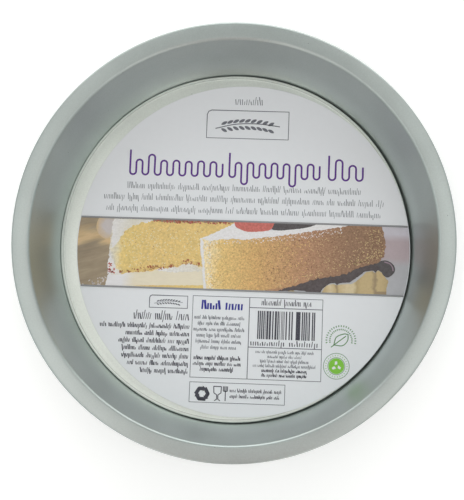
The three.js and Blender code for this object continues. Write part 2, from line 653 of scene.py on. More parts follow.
def finish_as_card(tree, where, colour):
    """Clay-coated board, offset printed and varnished: even, smooth, with a weak broad gloss."""
    fibre = add_node(tree, "ShaderNodeTexNoise", {"Vector": where, "Scale": 1 / (0.5 * MM), "Detail": 2.0})
    tooth = add_node(tree, "ShaderNodeBump", {"Strength": 0.1, "Distance": 0.01 * MM, "Height": fibre})
    shader = add_node(
        tree, "ShaderNodeBsdfPrincipled",
        {"Base Color": colour, "Roughness": 0.42, "IOR": 1.5, "Normal": tooth}
    )
    end_material(tree, shader)


def card_board(name, colour):
    """White clay-coated board: nearly even, with the faintest cloudiness of its fibres."""
    material, tree, where = start_material(name)
    cloud = add_node(tree, "ShaderNodeTexNoise", {"Vector": where, "Scale": 1 / (3 * MM), "Detail": 4.0})
    tone = add_node(
        tree, "ShaderNodeMix", {0: cloud, 6: rgba(colour, 0.985), 7: rgba(colour, 1.015)}, data_type="RGBA"
    )
    finish_as_card(tree, where, tone)
    return material


def solid_ink(name, colour):
    """Offset ink on board: a solid tint, its uneven cover drawn a third of a millimetre coarse to show."""
    material, tree, where = start_material(name)
    cover = add_node(tree, "ShaderNodeTexNoise", {"Vector": where, "Scale": 1 / (0.35 * MM), "Detail": 1.0})
    tone = add_node(
        tree, "ShaderNodeMix", {0: cover, 6: rgba(colour, 0.88), 7: rgba(colour, 1.14)}, data_type="RGBA"
    )
    finish_as_card(tree, where, tone)
    return material


def picture_print(
    name, stops, span, axis="X", warp=0.0, grain=0.1, grain_size=1.0, clump=0.0, stretch=1.0, lean=0.0,
    middle=None
):
    """Four-colour print of a picture field: tints that change along it, broken up by a grain.

    stops are (share, colour) along the span, in millimetres of the print's own X or Y. warp moves the
    tints to and fro by up to so many millimetres. grain and clump are how far the fine and the coarse
    mottling go from the tint, and stretch draws both out along a line that leans by an angle. With a
    middle, the tints change with the distance from that spot instead.
    """
    card = card_settings()
    coarse = 3.2
    material, tree, where = start_material(name)
    own = add_node(
        tree, "ShaderNodeMapping",
        {"Vector": where, "Location": card_place().translation, "Rotation": (0.0, 0.0, card.turn)},
        vector_type="TEXTURE"
    )
    spread = add_node(
        tree, "ShaderNodeMapping",
        {"Vector": own, "Rotation": (0.0, 0.0, lean), "Scale": (stretch, 1.0, 1.0)}, vector_type="TEXTURE"
    )
    crumb = add_node(
        tree, "ShaderNodeTexNoise",
        {"Vector": spread, "Scale": 1 / (grain_size * MM), "Detail": 3.0, "Roughness": 0.7}
    )
    lump = add_node(
        tree, "ShaderNodeTexNoise",
        {"Vector": spread, "Scale": 1 / (coarse * grain_size * MM), "Detail": 2.0}
    )
    parts = add_node(tree, "ShaderNodeSeparateXYZ", [own])
    shift = add_node(tree, "ShaderNodeMapRange", [lump, 0.25, 0.75, -warp * MM, warp * MM], clamp=False)
    run = parts.outputs[axis]
    if middle:
        spot = (middle[0] * MM, middle[1] * MM, card.top)
        run = add_node(tree, "ShaderNodeVectorMath", [own, spot], operation="DISTANCE")
    along = add_node(tree, "ShaderNodeMath", [run, shift], operation="ADD")
    share = add_node(tree, "ShaderNodeMapRange", [along, span[0] * MM, span[1] * MM, 0.0, 1.0])
    ramp = add_node(tree, "ShaderNodeValToRGB", [share])
    ramp.color_ramp.elements[0].position = stops[0][0]
    ramp.color_ramp.elements[0].color = rgba(stops[0][1])
    ramp.color_ramp.elements[1].position = stops[-1][0]
    ramp.color_ramp.elements[1].color = rgba(stops[-1][1])
    for position, colour in stops[1:-1]:
        ramp.color_ramp.elements.new(position).color = rgba(colour)
    fine = add_node(tree, "ShaderNodeMapRange", [crumb, 0.32, 0.68, 0.0, 1.0])
    # The hollows of a crumb are warmer as well as darker
    crumb_tone = add_node(
        tree, "ShaderNodeMix",
        {
            0: fine, 6: (1 - grain, 1 - 1.15 * grain, 1 - 1.35 * grain, 1.0),
            7: (1 + grain, 1 + grain, 1 + grain, 1.0)
        },
        data_type="RGBA"
    )
    broad = add_node(tree, "ShaderNodeMapRange", [lump, 0.3, 0.7, 1 - clump, 1 + clump], clamp=False)
    toned = add_node(
        tree, "ShaderNodeMix", {0: 1.0, 6: ramp, 7: crumb_tone}, data_type="RGBA", blend_type="MULTIPLY"
    )
    broken = add_node(
        tree, "ShaderNodeMix", {0: 1.0, 6: toned, 7: broad}, data_type="RGBA", blend_type="MULTIPLY"
    )
    finish_as_card(tree, where, broken)
    return material


# ---------------------------------------------------------------- settings


def number(name, value, note, **limits):
    """A plain number setting."""
    return FloatProperty(name=name, description=note, default=value, **limits)


def length(name, value, note):
    """A length setting, given in millimetres and kept in metres."""
    return FloatProperty(name=name, description=note, default=value * MM, unit="LENGTH", precision=5)


def tint(name, code, note):
    """A colour setting from an sRGB hex value."""
    return FloatVectorProperty(
        name=name, description=note, subtype="COLOR", size=3, min=0.0, max=1.0, default=linear(code)
    )


class CakeTinBodySettings(bpy.types.PropertyGroup):
    """Sizes and colour of the pressed body."""

    flats: IntProperty(name="Flats", description="Flats round a full turn", default=288, min=24)
    bend_flats: IntProperty(name="Bend flats", description="Flats along each bend", default=6, min=1)
    sheet: length("Sheet", 0.6, "Thickness of the pressed sheet")
    height: length("Mouth height", 34.98, "Height of the corner between wall and rim")
    mouth_radius: length("Mouth radius", 100, "Radius of the corner between wall and rim")
    rim_radius: length("Rim radius", BODY_HIGH.x / MM, "Outside edge of the rim")
    rim_fall: length("Rim fall", 0.35, "Drop of the rim from the mouth to its edge")
    rim_lip: length("Rim lip", 1.7, "Drop from the mouth to the edge of the turned-down lip")
    foot_radius: length("Foot radius", 91.25, "Corner between wall and channel")
    channel_radius: length("Channel radius", 88, "Corner between channel and ledge step")
    ledge_radius: length("Ledge radius", 86.4, "Outer corner of the ledge")
    ledge_height: length("Ledge height", 2.6, "Height of the ledge that carries the base")
    ledge_width: length("Ledge width", 3.5, "Width of the ledge")
    ledge_bend: length("Ledge bend", 0.9, "Bend at the ledge's corner")
    channel_bend: length("Channel bend", 0.8, "Bend at the channel's inner corner")
    foot_bend: length("Foot bend", 1.2, "Bend at the foot of the wall")
    mouth_bend: length("Mouth bend", 1.6, "Bend between wall and rim")
    lip_bend: length("Lip bend", 1.0, "Bend over the rim's edge")
    # Painted light: how far up the wall's foot is painted paler, and how much paler
    foot_light_low: length("Pale from", 3.0, "Height up to which the foot of the wall is palest")
    foot_light_high: length("Pale until", 21.0, "Height where the wall has its plain colour")
    foot_light_gain: number("Foot paleness", 1.25, "Brightness of the foot", min=0.5, max=2)
    colour: tint("Coating", "B0B7B5", "Colour of the silver release coating")
    roughness: number("Roughness", 0.36, "Roughness of the coating", min=0, max=1)


class CakeTinBaseSettings(bpy.types.PropertyGroup):
    """Sizes and colour of the loose base."""

    centre_x: length("Centre X", (BASE_LOW.x + BASE_HIGH.x) / 2 / MM - 0.05, "Where the disc lies")
    centre_y: length("Centre Y", (BASE_LOW.y + BASE_HIGH.y) / 2 / MM - 0.07, "Where the disc lies")
    radius: length("Radius", (BASE_HIGH.x - BASE_LOW.x) / 2 / MM + 0.38, "Outside radius of the disc")
    groove_radius: length("Groove radius", 88.95, "Radius of the fine groove pressed near the edge")
    groove_depth: length("Groove depth", 0.05, "Depth of the groove")
    groove_width: length("Groove width", 1.3, "Width of the groove")
    lie: length("Clearance", 0.02, "Gap between the ledge and the disc that rests on it")
    edge_depth: length("Edge depth", 0.75, "Depth of the turned-down edge")
    bend: length("Edge bend", 0.62, "Bend at the disc's edge")
    # Painted light on the disc: a painted highlight towards its turned-down edge, and a fine painted shade
    # line near that edge
    highlight_start: length("Rub start", 87.2, "Radius where the rubbed edge begins")
    highlight_full: length("Rub full", 88.7, "Radius where the edge is rubbed brightest")
    highlight_gain: number("Highlight", 1.1, "Brightness of the rubbed edge", min=0.5, max=2)
    shade_line_radius: length("Shade line radius", 89.75, "Radius of the fine dark line near the edge")
    line_width: length("Shade line width", 0.3, "Half width of the line with its soft sides")
    shade_line_tone: number("Shade line tone", 0.72, "Darkness of the line", min=0, max=1)
    colour: tint("Coating", "DADFD9", "Colour of the silver release coating")
    roughness: number("Roughness", 0.36, "Roughness of the coating", min=0, max=1)


class CakeTinCardSettings(bpy.types.PropertyGroup):
    """Sizes and colour of the card."""

    centre_x: length("Centre X", (CARD_LOW.x + CARD_HIGH.x) / 2 / MM + 0.1, "Where the card lies")
    centre_y: length("Centre Y", (CARD_LOW.y + CARD_HIGH.y) / 2 / MM + 0.5, "Where the card lies")
    radius: length("Radius", (CARD_HIGH.x - CARD_LOW.x) / 2 / MM - 0.1, "Radius of the card")
    print_x: length("Print X", -0.95, "How far the print sits off the card's centre")
    print_y: length("Print Y", 0.2, "How far the print sits off the card's centre")
    thickness: length("Thickness", (CARD_HIGH.z - CARD_LOW.z) / MM, "Thickness of the board")
    top: length("Face height", 3.64, "Height of the printed face, with the card lying on the base")
    edge: length("Edge", 0.12, "Softening of the cut edge")
    turn: number("Turn", math.radians(-1.9), "How far the print is turned", subtype="ANGLE")
    colour: tint("Board", "E3E5E9", "Colour of the bare board")


class CakeTinPrintSettings(bpy.types.PropertyGroup):
    """Inks and line sizes of the print round the picture."""

    title_ink: tint("Title ink", "5A2388", "Purple of the large words")
    text_ink: tint("Text ink", "7C7F86", "Grey of the reading lines")
    dark_ink: tint("Dark ink", "3C3C48", "Near black of the bold lines and bars")
    frame_ink: tint("Frame ink", "6A6C74", "Grey of the frames")
    blue_ink: tint("Blue ink", "20228C", "Blue of the short row under the picture")
    green_ink: tint("Green ink", "7EC238", "Green of the roundel")
    sage_ink: tint("Sage ink", "5F8F5A", "Green of the thin ring and the leaf")
    border_ink: tint("Border ink", "8F9092", "Grey of the lines above and below the picture")
    title_stroke: length("Title stroke", 0.96, "Width of the large strokes")
    frame_stroke: length("Frame stroke", 0.42, "Width of the frame lines")
    bar_module: length("Bar module", 0.33, "Width of the narrowest bar")


class CakeTinPictureSettings(bpy.types.PropertyGroup):
    """Colours of the picture's fields."""

    low: length("Lower edge", -22.0, "Lower edge of the picture band")
    high: length("Upper edge", 14.2, "Upper edge of the picture band")
    border: length("Border", 0.9, "Width of the lines above and below the picture")
    sponge_lit: tint("Sponge, lit", "EFDDB0", "Sponge at the slice's near corner")
    sponge_gold: tint("Sponge, gold", "DFC07F", "Sponge a little further in")
    sponge_honey: tint("Sponge, honey", "D0A96F", "Sponge towards the middle")
    sponge_brown: tint("Sponge, baked", "B3896A", "Baked face of the slice")
    sponge_shade: tint("Sponge, shade", "917159", "Sponge in shade")
    block_gold: tint("Block, gold", "E2C77F", "Sponge of the block behind, at its end")
    icing_gold: tint("Icing over gold", "E4D6AE", "Where the icing gives way to sponge")
    block_deep: tint("Block, deep", "E0C27E", "Sponge of the block behind, further in")
    crumb: tint("Crumb", "B98B5A", "Dark crumbs along the filling")
    sugar: tint("Sugar", "E4E2E4", "Dusting sugar and icing")
    icing: tint("Icing", "DBD6C8", "Icing on the block's end")
    cream: tint("Cream", "E4DAC3", "Cream filling")
    red_fruit: tint("Red fruit", "C66E66", "Fruit on top, red")
    dark_fruit: tint("Dark fruit", "524E51", "Fruit on top, dark")
    burnt: tint("Burnt jam", "A5603F", "Jam along the block")
    tan: tint("Tan", "CDB383", "Lit crumbs on the baked face")
    umber: tint("Umber", "7E5C44", "Dark crumbs on the baked face")
    crumb_shade: tint("Cream, side", "B29C73", "Piped cream turning away")
    shine: tint("Shine", "9A8592", "Light on the dark fruit")
    jam: tint("Jam", "524A4C", "Dark jam between the layers")
    swirl_lit: tint("Piped cream, lit", "D3C29D", "Piped cream in the light")
    swirl: tint("Piped cream", "C2AC80", "Piped cream")
    swirl_shade: tint("Piped cream, shade", "9A8669", "Piped cream in shade")
    wood_light: tint("Wood, light", "CDB187", "Blurred board, light")
    wood_mid: tint("Wood, middle", "A09078", "Blurred board, middle")
    wood_dark: tint("Wood, dark", "968670", "Blurred board, dark")
    haze: tint("Haze", "C6BEBD", "Pale blur")
    lilac: tint("Lilac", "C7C3CC", "Blurred cloth, lilac")
    rose: tint("Rose", "B4A4A9", "Blurred cloth, rose")
    slate: tint("Slate", "B3B3B8", "Blurred cloth, low")


class CakeTinStageSettings(bpy.types.PropertyGroup):
    """Camera, floor and light."""

    camera_x: length("Camera X", 20.85, "Where the camera stands")
    camera_y: length("Camera Y", -61.66, "Where the camera stands")
    camera_z: length("Camera Z", 472.33, "Where the camera stands")
    tip: number("Tip", math.radians(5.856), "Turn about X", subtype="ANGLE")
    roll: number("Roll", math.radians(1.412), "Turn about Y", subtype="ANGLE")
    lens: number("Lens", 65.33, "Focal length in millimetres")
    floor_radius: length("Floor radius", 2500, "Radius of the floor")
    floor_colour: tint("Floor", "F4F4F4", "Colour of the floor")
    floor_glow: number("Floor glow", 0.32, "Light the floor gives of its own")
    shift_x: number("Shift X", -0.04216, "How far the view is cropped off centre")
    shift_y: number("Shift Y", 0.04398, "How far the view is cropped off centre")
    tent_x: number("Tent X", 0.02, "Sideways lean of the tent")
    tent_y: number("Tent Y", -0.018, "Forward lean of the tent")
    sky_top: number("Light overhead", 0.236, "Brightness straight above")
    sky_strip: number("Light strips", 2.2, "Added brightness of the two strips")
    sky_panel: number("Light panel", 2.5, "Brightness of the low panel behind")
    sky_edge: number("Light at the edge", 0.95, "Brightness near the horizon")
    strip_warm: tint("Strip light", "FFFCF8", "Colour of the light from the strips")
    near_warm: tint("Near light", "FFE4E2", "Colour of the light from the near side")
    tent_cool: tint("Tent light", "F4FFFF", "Colour of the light from the rest of the tent")


SETTINGS = (
    ("cake_tin_body", CakeTinBodySettings), ("cake_tin_base", CakeTinBaseSettings),
    ("cake_tin_card", CakeTinCardSettings), ("cake_tin_print", CakeTinPrintSettings),
    ("cake_tin_picture", CakeTinPictureSettings), ("cake_tin_stage", CakeTinStageSettings)
)


# ---------------------------------------------------------------- operators


class CAKETIN_OT_stage(bpy.types.Operator):
    """Sets the camera, the pale floor and the soft studio light"""

    bl_idname = "cake_tin.stage"
    bl_label = "Stage"

    def execute(self, context):
        stage = context.scene.cake_tin_stage
        context.scene.view_settings.view_transform = "Standard"
        self.add_camera(context.scene, stage)
        self.add_floor(stage)
        self.add_sky(context.scene, stage)
        return {"FINISHED"}

    def add_camera(self, scene, stage):
        data = bpy.data.cameras.new("camera")
        data.lens = stage.lens
        data.sensor_width = 36.0
        data.clip_start = 0.01
        data.shift_x, data.shift_y = stage.shift_x, stage.shift_y
        camera = bpy.data.objects.new("camera", data)
        place = Matrix.Translation((stage.camera_x, stage.camera_y, stage.camera_z))
        turn = Matrix.Rotation(stage.tip, 4, "X") @ Matrix.Rotation(stage.roll, 4, "Y")
        camera.matrix_world = place @ turn
        scene.collection.objects.link(camera)
        scene.camera = camera

    def add_floor(self, stage):
        """A matt white sweep that also glows a little, as paper lit from behind does."""
        rim = circle_outline(0.0, 0.0, stage.floor_radius, 96)
        floor = new_piece("floor", [(x, y, 0.0) for x, y in rim], faces=[list(range(len(rim)))])
        material, tree, where = start_material("white_paper_sweep")
        pulp = add_node(
            tree, "ShaderNodeTexNoise", {"Vector": where, "Scale": 1 / (40 * MM), "Detail": 2.0}
        )
        tone = add_node(
            tree, "ShaderNodeMix",
            {0: pulp, 6: rgba(stage.floor_colour, 0.99), 7: rgba(stage.floor_colour)}, data_type="RGBA"
        )
        shader = add_node(
            tree, "ShaderNodeBsdfPrincipled",
            {
                "Base Color": tone, "Roughness": 0.9, "Emission Color": rgba(stage.floor_colour),
                "Emission Strength": stage.floor_glow
            }
        )
        end_material(tree, shader)
        floor.data.materials.append(material)

    def add_sky(self, scene, stage):
        """A tent of light: a soft strip on either side, a low panel behind and a calm ceiling."""
        world = bpy.data.worlds.new("light_tent")
        world.use_nodes = True
        tree = world.node_tree
        tree.nodes.clear()

        way = add_node(tree, "ShaderNodeTexCoord").outputs["Generated"]
        lean = (stage.tent_x, stage.tent_y, 0.0)
        leaned = add_node(tree, "ShaderNodeVectorMath", [way, lean], operation="ADD")
        parts = add_node(tree, "ShaderNodeSeparateXYZ", [leaned]).outputs
        aside = add_node(tree, "ShaderNodeMath", [parts["X"], 0.0], operation="ABSOLUTE")
        # Where each band of the tent begins and ends along a direction, and its level at either end
        bands = {
            "strip_inside": (aside, 0.1, 0.25, 0.0, 1.0), "strip_outside": (aside, 0.3, 0.53, 1.0, 0.25),
            "far": (parts["Y"], 0.05, 0.35, 1.0, 0.55), "near": (parts["Y"], -0.1, -0.4, 1.0, 0.72),
            "panel": (parts["Y"], 0.62, 0.8, 0.0, 1.0), "edge": (parts["Z"], 0.16, 0.02, 0.0, 1.0),
            "warm_near": (parts["Y"], -0.05, -0.2, 0.0, 1.0), "warm_middle": (aside, 0.1, 0.3, 1.0, 0.0)
        }
        made = {name: add_node(tree, "ShaderNodeMapRange", band, **SMOOTH) for name, band in bands.items()}
        # Each row joins a level made before with a second one or with a setting
        joins = (
            ("strip", "MULTIPLY", "strip_inside", "strip_outside"),
            ("bright", "MULTIPLY", "strip", stage.sky_strip), ("ceiling", "ADD", "bright", stage.sky_top),
            ("falloff", "MULTIPLY", "far", "near"), ("calm", "MULTIPLY", "ceiling", "falloff"),
            ("low_panel", "MULTIPLY", "panel", stage.sky_panel),
            ("horizon", "MULTIPLY", "edge", stage.sky_edge),
            ("calm_or_panel", "MAXIMUM", "calm", "low_panel"),
            ("level", "MAXIMUM", "calm_or_panel", "horizon"),
            ("warmth", "MULTIPLY", "warm_near", "warm_middle")
        )
        for name, operation, first, second in joins:
            pair = [made[first], made.get(second, second)]
            made[name] = add_node(tree, "ShaderNodeMath", pair, operation=operation)
        tone = add_node(
            tree, "ShaderNodeMix", {0: made["strip"], 6: rgba(stage.tent_cool), 7: rgba(stage.strip_warm)},
            data_type="RGBA"
        )
        warmed = add_node(
            tree, "ShaderNodeMix", {0: made["warmth"], 6: tone, 7: rgba(stage.near_warm)}, data_type="RGBA"
        )
        light = add_node(tree, "ShaderNodeBackground", {"Color": warmed, "Strength": made["level"]})
        add_node(tree, "ShaderNodeOutputWorld", {"Surface": light})
        scene.world = world


class CAKETIN_OT_body(bpy.types.Operator):
    """Turns the pressed body: ledge, channel, flared wall, flat rim and lip"""

    bl_idname = "cake_tin.body"
    bl_label = "Tin body"

    def execute(self, context):
        tin = context.scene.cake_tin_body
        upper = bent_line(
            [
                (tin.ledge_radius - tin.ledge_width, tin.ledge_height),
                (tin.ledge_radius, tin.ledge_height, tin.ledge_bend),
                (tin.channel_radius, tin.sheet, tin.channel_bend),
                (tin.foot_radius, tin.sheet, tin.foot_bend), (tin.mouth_radius, tin.height, tin.mouth_bend),
                (tin.rim_radius, tin.height - tin.rim_fall, tin.lip_bend),
                (tin.rim_radius, tin.height - tin.rim_lip)
            ],
            tin.bend_flats
        )
        outline = other_face(upper, tin.sheet) + upper[::-1]
        # Painted light on the wall's foot, standing in for the light the bright base and card throw on it
        light_tone = painted_foot_light(tin.foot_light_low, tin.foot_light_high, tin.foot_light_gain)
        steel = satin_coated_steel("coated_steel", tin.colour, tin.roughness, light_tone)
        body = turn_outline("pressed_body", outline, tin.flats, (0.0, 0.0, 0.0), steel)
        hand_in(body, "coated_steel", "tin_body")
        return {"FINISHED"}


class CAKETIN_OT_base(bpy.types.Operator):
    """Turns the loose base: a flat disc with a fine groove and its edge turned down"""

    bl_idname = "cake_tin.base"
    bl_label = "Loose base"

    def execute(self, context):
        tin = context.scene.cake_tin_body
        base = context.scene.cake_tin_base
        face = tin.ledge_height + base.lie + tin.sheet
        upper = bent_line(
            [
                (0.0, face), (base.groove_radius - base.groove_width / 2, face, 0.6 * MM),
                (base.groove_radius, face - base.groove_depth, 0.8 * MM),
                (base.groove_radius + base.groove_width / 2, face, 0.6 * MM),
                (base.radius, face, base.bend), (base.radius, face - base.edge_depth)
            ],
            tin.bend_flats
        )
        outline = other_face(upper, tin.sheet) + upper[::-1]
        axis = (base.centre_x, base.centre_y, 0.0)
        # A painted highlight at the disc's edge and a painted shade line beside it
        light_tone = painted_edge_light(
            axis, base.highlight_start, base.highlight_full, base.highlight_gain, base.shade_line_radius, base.line_width,
            base.shade_line_tone
        )
        steel = satin_coated_steel("base_steel", base.colour, base.roughness, light_tone)
        disc = turn_outline("base_disc", outline, tin.flats, axis, steel)
        hand_in(disc, "base_steel", "loose_base")
        return {"FINISHED"}


class CAKETIN_OT_card(bpy.types.Operator):
    """Cuts the round card that lies on the loose base"""

    bl_idname = "cake_tin.card"
    bl_label = "Card"

    def execute(self, context):
        card = context.scene.cake_tin_card
        low = card.top - card.thickness
        inner = card.radius - card.edge
        outline = [
            (0.0, low), (inner, low), (card.radius, low + card.edge), (card.radius, card.top - card.edge),
            (inner, card.top), (0.0, card.top)
        ]
        board = card_board("coated_board", card.colour)
        axis = (card.centre_x, card.centre_y, 0.0)
        piece = turn_outline("round_card", outline, context.scene.cake_tin_body.flats, axis, board)
        hand_in(piece, "printed_card", "printed_card")
        return {"FINISHED"}


class CAKETIN_OT_title(bpy.types.Operator):
    """Draws the three large purple words as plain pen waves that spell nothing"""

    bl_idname = "cake_tin.title"
    bl_label = "Title waves"

    BASE = 37.6
    # Left and right end of each wave, then the heights of its crests and of its troughs
    WAVES = (
        (-60.0, -11.2, (13.2, 8.0, 10.8, 7.8, 8.0, 7.6, 8.0, 7.8), (0.0,) * 8),
        (-7.6, 39.8, (13.0, 7.8, 8.0, 7.6, 8.0, 7.8, 7.6, 8.0), (0.0, -3.6, 0.0, 0.0, 0.0, -4.0, 0.0, 0.0)),
        (44.6, 62.4, (13.0, 10.8, 8.0), (0.0, 0.0, 0.0))
    )

    def execute(self, context):
        inks = context.scene.cake_tin_print
        ink = solid_ink("purple_ink", inks.title_ink)
        paths = [self.wave(*wave) for wave in self.WAVES]
        stroke_piece("title_waves", paths, inks.title_stroke / MM, ink)
        return {"FINISHED"}

    def wave(self, left, right, crests, troughs):
        """Upright pen strokes joined by half-round turns, from a free top end to a free top end."""
        stems = 2 * len(crests)
        pitch = (right - left) / (stems - 1)
        path = [(left, self.BASE + crests[0])]
        for i, trough in enumerate(troughs):
            x = left + (2 * i + 0.5) * pitch
            path += self.turn(x, self.BASE + trough + pitch / 2, pitch / 2, -1)
            if i + 1 < len(crests):
                path += self.turn(x + pitch, self.BASE + crests[i + 1] - pitch / 2, pitch / 2, 1)
        path.append((right, self.BASE + crests[-1] * 0.9))
        return path

    def turn(self, x, y, radius, side):
        """Half a turn from left to right, over the top for side 1 and under for side -1."""
        flats = 8
        angles = [math.pi * (1 - k / flats) for k in range(flats + 1)]
        return [(x + radius * math.cos(a), y + side * radius * math.sin(a)) for a in angles]


class CAKETIN_OT_reading_lines(bpy.types.Operator):
    """Prints the reading lines as rows of stand-in words"""

    bl_idname = "cake_tin.reading_lines"
    bl_label = "Reading lines"

    def execute(self, context):
        inks = context.scene.cake_tin_print
        grey = solid_ink("grey_ink", inks.text_ink)
        dark = solid_ink("dark_ink", inks.dark_ink)
        blue = solid_ink("blue_ink", inks.blue_ink)
        widths = (46, 32.5, 36, 34, 34, 31, 24)
        story = [(-25.4 - width, -25.4, -42.8 - 3.83 * i) for i, width in enumerate(widths)]
        lead = [(0.3 - half, 0.3 + half, y) for half, y in ((61, 30.2), (73, 24.2), (71.5, 18.2))]
        cell = centred_rows(-9.9, -37.3, 3.07, (12.8, 10.8, 13, 11.2, 11.6, 9))
        bold = centred_rows(-10.3, -58.2, 2.9, (11.8, 12.1, 8.3))
        notes = centred_rows(24.4, -53.9, 2.37, (14.8, 8.6, 12.3, 15.9))
        closing = centred_rows(24.4, -63.5, 2.4, (11.4, 11.4))
        # Name, rows, letter pitch, height, stroke, ink and seed
        blocks = (
            ("lead_words", lead, 1.72, 2.3, 0.34, grey, 11),
            ("code_words", [(-5.5, 8.4, 76.6)], 2.2, 3.0, 0.4, grey, 12),
            ("heading_words", [(-54.0, -26.0, -38.4)], 2.1, 3.2, 0.5, dark, 13),
            ("story_words", story, 1.36, 1.75, 0.46, dark, 14),
            ("left_cell_words", cell, 0.98, 1.35, 0.36, grey, 15),
            ("left_cell_bold_words", bold, 1.05, 1.5, 0.4, dark, 16),
            ("right_cell_heading", [(12.0, 37.2, -29.2)], 1.6, 2.2, 0.44, dark, 17),
            ("right_cell_words", notes, 0.74, 1.15, 0.27, grey, 18),
            ("right_cell_bold_words", closing, 0.85, 1.25, 0.36, dark, 19),
            ("bar_numbers", [(7.0, 41.0, -50.1)], 2.4, 2.0, 0.52, dark, 20),
            ("care_words", [(-2.8, 23.2, -74.4), (-2.8, 22.2, -77.3)], 0.9, 1.3, 0.32, dark, 21),
            ("blue_words", [(-18.8, 1.6, -32.2)], 2.9, 3.2, 1.05, blue, 22)
        )
        for block in blocks:
            words_piece(*block)
        return {"FINISHED"}


class CAKETIN_OT_frames(bpy.types.Operator):
    """Rules the frames, the table and the lines above and below the picture"""

    bl_idname = "cake_tin.frames"
    bl_label = "Frames"

    def execute(self, context):
        inks = context.scene.cake_tin_print
        picture = context.scene.cake_tin_picture
        card = context.scene.cake_tin_card
        grey = solid_ink("frame_ink", inks.frame_ink)
        border = solid_ink("border_ink", inks.border_ink)
        width = inks.frame_stroke / MM
        boxes = [
            box_ring(-23.8, -67.4, 43.4, -25.4), box_ring(-23.7, -80.0, 25.2, -69.8),
            [(5.6, -25.4), (5.6, -67.4)], [(5.6, -30.6), (43.4, -30.6)], [(5.6, -51.0), (43.4, -51.0)]
        ]
        stroke_piece("table_frames", boxes, width, grey)
        badges = [box_ring(-20.4, 58.4, 22.8, 73.4, 2.4), box_ring(-46.4, -32.2, -26.6, -25.8, 1.3)]
        stroke_piece("badge_frames", badges, 0.5, grey)
        edges = []
        for height in (picture.low, picture.high):
            reach = math.sqrt((card.radius - LINE_MARGIN) ** 2 - (height + card.print_y) ** 2)
            ends = (-reach - card.print_x, reach - card.print_x)
            edges.append([(end / MM, height / MM) for end in ends])
        stroke_piece("picture_borders", edges, picture.border / MM, border, layer=13)
        return {"FINISHED"}


